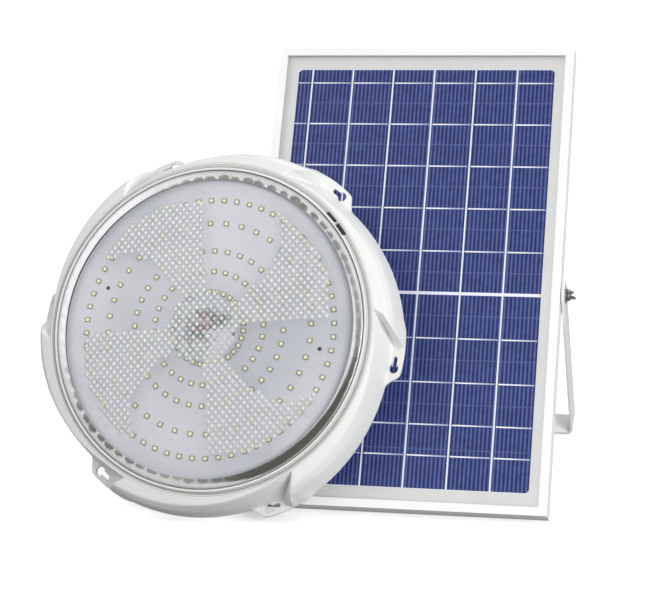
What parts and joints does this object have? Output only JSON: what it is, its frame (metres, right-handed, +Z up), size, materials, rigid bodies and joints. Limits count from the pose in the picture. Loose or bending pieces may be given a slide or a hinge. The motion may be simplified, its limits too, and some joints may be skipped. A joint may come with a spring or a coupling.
{
  "type": "solar ceiling light kit",
  "caption": "Round ceiling lamp with keyhole ears and a clear domed cover, beside a framed solar panel standing on a swinging U-bracket.",
  "frame": {"origin": "middle of the whole kit's footprint, on the floor", "axes": "+Z up, -Y the side the panel face and the lamp cover look to, +X to the right seen from that side; the panel leans back and the bracket's cross-bar stands on the floor behind it"},
  "size_m": [0.389, 0.2719, 0.2738],
  "materials": {
    "frame_white": "white powder coat over aluminium extrusion",
    "key_metal": "bare",
    "clear_glass": "clear, faint texture",
    "silicon": "blue polycrystalline cells",
    "ribbon": "tinned ribbon",
    "white_film": "white film",
    "sealant": "white silicone",
    "fastener_steel": "zinc plated",
    "black_plastic": "moulded",
    "cable_black": "cable jacket",
    "tie_white": "nylon",
    "strap_white": "light grey-white paint",
    "housing_white": "glossy moulded",
    "plate_white": "moulded",
    "seal_black": "gasket",
    "clear_plastic": "clear moulded, patterned inside",
    "board_silver": "silver-lavender solder mask",
    "light_chip": "pale yellow phosphor",
    "board_white": "white solder mask",
    "part_black": "moulded components",
    "cell_blue": "shrink-wrapped cells",
    "nickel": "nickel",
    "board_green": "green solder mask",
    "wire_red": "insulated wire"
  },
  "bodies": {
    "panel": {"frame_top_rail": "frame_white", "frame_bottom_rail": "frame_white", "frame_left_rail": "frame_white", "frame_right_rail": "frame_white", "corner_keys": "key_metal", "panel_glass": "clear_glass", "solar_cells": "silicon", "busbar_ribbons": "ribbon", "backsheet": "white_film", "edge_seal": "sealant", "rivet_nuts": "fastener_steel", "junction_box": "black_plastic", "junction_box_lid": "black_plastic", "lid_screws": "fastener_steel", "terminal_block": "black_plastic", "bypass_diode": "black_plastic", "panel_gland": "black_plastic", "panel_cable": "cable_black", "cable_ties": "tie_white", "panel_plug": "black_plastic"},
    "bracket": {"u_bracket": "strap_white"},
    "wing_right": {"wing_bolt_right": "fastener_steel", "washer_right": "fastener_steel"},
    "wing_left": {"wing_bolt_left": "fastener_steel", "washer_left": "fastener_steel"},
    "lamp": {"lamp_housing": "housing_white", "back_plate": "plate_white", "back_screws": "fastener_steel", "cover_seal": "seal_black", "clear_cover": "clear_plastic", "bezel_ring": "housing_white", "catch_tongues": "part_black", "board_frame": "plate_white", "light_board": "board_silver", "light_chips": "light_chip", "board_screws": "part_black", "sensor_board": "board_white", "sensor_parts": "part_black", "battery_cells": "cell_blue", "battery_holder": "black_plastic", "battery_tabs": "nickel", "controller_board": "board_green", "controller_parts": "part_black", "wire_harness": "wire_red", "lamp_gland": "black_plastic", "lamp_cable": "cable_black", "lamp_socket": "black_plastic"}
  },
  "joints": [
    {"name": "bracket_swing", "type": "hinge", "parent": "panel", "child": "bracket", "pos_m": [0.07365, 0.00781, 0.12617], "axis": [1, 0, 0], "range_deg": [-47, 114]},
    {"name": "wing_right_turn", "type": "hinge", "parent": "panel", "child": "wing_right", "pos_m": [0.18565, 0.00781, 0.12617], "axis": [1, 0, 0], "range_deg": [-360, 360]},
    {"name": "wing_left_turn", "type": "hinge", "parent": "panel", "child": "wing_left", "pos_m": [-0.03835, 0.00781, 0.12617], "axis": [1, 0, 0], "range_deg": [-360, 360]},
    {"name": "lamp_pull_away", "type": "slide", "parent": "panel", "child": "lamp", "axis": [0, -1, 0], "range_m": [0, 0.12]}
  ]
}
